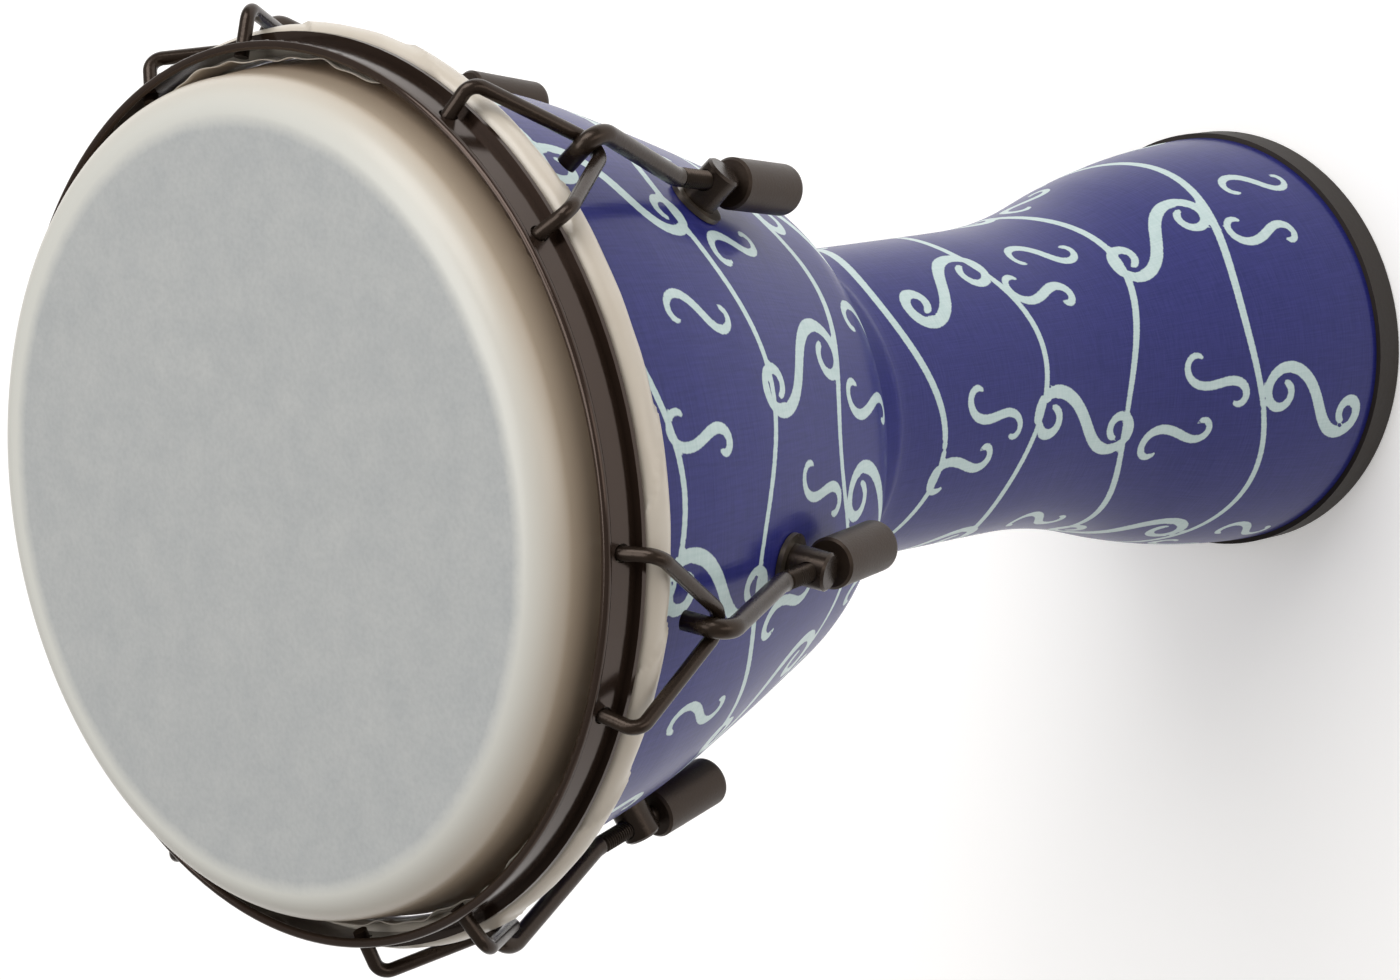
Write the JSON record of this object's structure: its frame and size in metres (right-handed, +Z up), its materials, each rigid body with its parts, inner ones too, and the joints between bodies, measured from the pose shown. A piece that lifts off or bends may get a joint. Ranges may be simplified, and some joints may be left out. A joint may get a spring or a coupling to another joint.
{
  "type": "djembe",
  "caption": "Goblet hand drum with a printed cloth shell, film head and wire claw and rod lugs that tune it together.",
  "frame": {"origin": "centre of the foot, on the surface it stands on", "axes": "+Z up the drum's axis towards the head; +X towards lug 1"},
  "size_m": [0.296, 0.2812, 0.4762],
  "materials": {
    "shell_black": "matt moulded",
    "printed_cloth": "glossy lacquered printed cloth",
    "foot_rubber": "matt",
    "head_film": "frosted film",
    "hoop_steel": "gloss black",
    "claw_steel": "satin black",
    "rod_steel": "satin black",
    "nut_steel": "satin black",
    "zinc_steel": "zinc plated"
  },
  "bodies": {
    "drum": {"shell": "shell_black", "printed_cloth": "printed_cloth", "foot_trim": "foot_rubber", "outer_washers": "nut_steel", "inner_washers": "zinc_steel", "inner_nuts": "zinc_steel", "lug_post_1": "nut_steel", "lug_post_2": "nut_steel", "lug_post_3": "nut_steel", "lug_post_4": "nut_steel", "lug_post_5": "nut_steel", "lug_post_6": "nut_steel"},
    "head": {"drumhead": "head_film", "flesh_hoop": "zinc_steel", "counter_hoop": "hoop_steel"},
    "nut_1": {"tuning_nut_1": "nut_steel"},
    "rod_1": {"tuning_rod_1": "rod_steel"},
    "claw_1": {"claw_1": "claw_steel"},
    "nut_2": {"tuning_nut_2": "nut_steel"},
    "rod_2": {"tuning_rod_2": "rod_steel"},
    "claw_2": {"claw_2": "claw_steel"},
    "nut_3": {"tuning_nut_3": "nut_steel"},
    "rod_3": {"tuning_rod_3": "rod_steel"},
    "claw_3": {"claw_3": "claw_steel"},
    "nut_4": {"tuning_nut_4": "nut_steel"},
    "rod_4": {"tuning_rod_4": "rod_steel"},
    "claw_4": {"claw_4": "claw_steel"},
    "nut_5": {"tuning_nut_5": "nut_steel"},
    "rod_5": {"tuning_rod_5": "rod_steel"},
    "claw_5": {"claw_5": "claw_steel"},
    "nut_6": {"tuning_nut_6": "nut_steel"},
    "rod_6": {"tuning_rod_6": "rod_steel"},
    "claw_6": {"claw_6": "claw_steel"}
  },
  "joints": [
    {"name": "head_slide", "type": "slide", "parent": "drum", "child": "head", "axis": [0, 0, 1], "range_m": [0, 0.00747]},
    {"name": "nut_1_spin", "type": "hinge", "parent": "drum", "child": "nut_1", "pos_m": [0.11978, 0, 0.35687], "axis": [-0.2079, 0, -0.9781], "range_deg": [0, 2880.9]},
    {"name": "rod_1_slide", "type": "slide", "parent": "drum", "child": "rod_1", "axis": [0.2079, 0, 0.9781], "range_m": [0, 0.00805]},
    {"name": "claw_1_swing", "type": "hinge", "parent": "head", "child": "claw_1", "pos_m": [0.13247, 0, 0.45469], "axis": [0, -1, 0], "range_deg": [0, 2.73]},
    {"name": "nut_2_spin", "type": "hinge", "parent": "drum", "child": "nut_2", "pos_m": [0.05989, 0.10373, 0.35687], "axis": [-0.104, -0.1801, -0.9781], "range_deg": [0, 2880.9]},
    {"name": "rod_2_slide", "type": "slide", "parent": "drum", "child": "rod_2", "axis": [0.104, 0.1801, 0.9781], "range_m": [0, 0.00805]},
    {"name": "claw_2_swing", "type": "hinge", "parent": "head", "child": "claw_2", "pos_m": [0.06624, 0.11472, 0.45469], "axis": [0.866, -0.5, 0], "range_deg": [0, 2.73]},
    {"name": "nut_3_spin", "type": "hinge", "parent": "drum", "child": "nut_3", "pos_m": [-0.05989, 0.10373, 0.35687], "axis": [0.104, -0.1801, -0.9781], "range_deg": [0, 2880.9]},
    {"name": "rod_3_slide", "type": "slide", "parent": "drum", "child": "rod_3", "axis": [-0.104, 0.1801, 0.9781], "range_m": [0, 0.00805]},
    {"name": "claw_3_swing", "type": "hinge", "parent": "head", "child": "claw_3", "pos_m": [-0.06624, 0.11472, 0.45469], "axis": [0.866, 0.5, 0], "range_deg": [0, 2.73]},
    {"name": "nut_4_spin", "type": "hinge", "parent": "drum", "child": "nut_4", "pos_m": [-0.11978, 0, 0.35687], "axis": [0.2079, 0, -0.9781], "range_deg": [0, 2880.9]},
    {"name": "rod_4_slide", "type": "slide", "parent": "drum", "child": "rod_4", "axis": [-0.2079, 0, 0.9781], "range_m": [0, 0.00805]},
    {"name": "claw_4_swing", "type": "hinge", "parent": "head", "child": "claw_4", "pos_m": [-0.13247, 0, 0.45469], "axis": [0, 1, 0], "range_deg": [0, 2.73]},
    {"name": "nut_5_spin", "type": "hinge", "parent": "drum", "child": "nut_5", "pos_m": [-0.05989, -0.10373, 0.35687], "axis": [0.104, 0.1801, -0.9781], "range_deg": [0, 2880.9]},
    {"name": "rod_5_slide", "type": "slide", "parent": "drum", "child": "rod_5", "axis": [-0.104, -0.1801, 0.9781], "range_m": [0, 0.00805]},
    {"name": "claw_5_swing", "type": "hinge", "parent": "head", "child": "claw_5", "pos_m": [-0.06624, -0.11472, 0.45469], "axis": [-0.866, 0.5, 0], "range_deg": [0, 2.73]},
    {"name": "nut_6_spin", "type": "hinge", "parent": "drum", "child": "nut_6", "pos_m": [0.05989, -0.10373, 0.35687], "axis": [-0.104, 0.1801, -0.9781], "range_deg": [0, 2880.9]},
    {"name": "rod_6_slide", "type": "slide", "parent": "drum", "child": "rod_6", "axis": [0.104, -0.1801, 0.9781], "range_m": [0, 0.00805]},
    {"name": "claw_6_swing", "type": "hinge", "parent": "head", "child": "claw_6", "pos_m": [0.06624, -0.11472, 0.45469], "axis": [-0.866, -0.5, 0], "range_deg": [0, 2.73]}
  ],
  "couplings": [
    {"joint": "nut_1_spin", "follows": "head_slide", "rad_per_m": 6732.3},
    {"joint": "rod_1_slide", "follows": "head_slide", "ratio": 1.0715},
    {"joint": "claw_1_swing", "follows": "head_slide", "rad_per_m": 6.2656},
    {"joint": "nut_2_spin", "follows": "head_slide", "rad_per_m": 6732.3},
    {"joint": "rod_2_slide", "follows": "head_slide", "ratio": 1.0715},
    {"joint": "claw_2_swing", "follows": "head_slide", "rad_per_m": 6.2656},
    {"joint": "nut_3_spin", "follows": "head_slide", "rad_per_m": 6732.3},
    {"joint": "rod_3_slide", "follows": "head_slide", "ratio": 1.0715},
    {"joint": "claw_3_swing", "follows": "head_slide", "rad_per_m": 6.2656},
    {"joint": "nut_4_spin", "follows": "head_slide", "rad_per_m": 6732.3},
    {"joint": "rod_4_slide", "follows": "head_slide", "ratio": 1.0715},
    {"joint": "claw_4_swing", "follows": "head_slide", "rad_per_m": 6.2656},
    {"joint": "nut_5_spin", "follows": "head_slide", "rad_per_m": 6732.3},
    {"joint": "rod_5_slide", "follows": "head_slide", "ratio": 1.0715},
    {"joint": "claw_5_swing", "follows": "head_slide", "rad_per_m": 6.2656},
    {"joint": "nut_6_spin", "follows": "head_slide", "rad_per_m": 6732.3},
    {"joint": "rod_6_slide", "follows": "head_slide", "ratio": 1.0715},
    {"joint": "claw_6_swing", "follows": "head_slide", "rad_per_m": 6.2656}
  ]
}
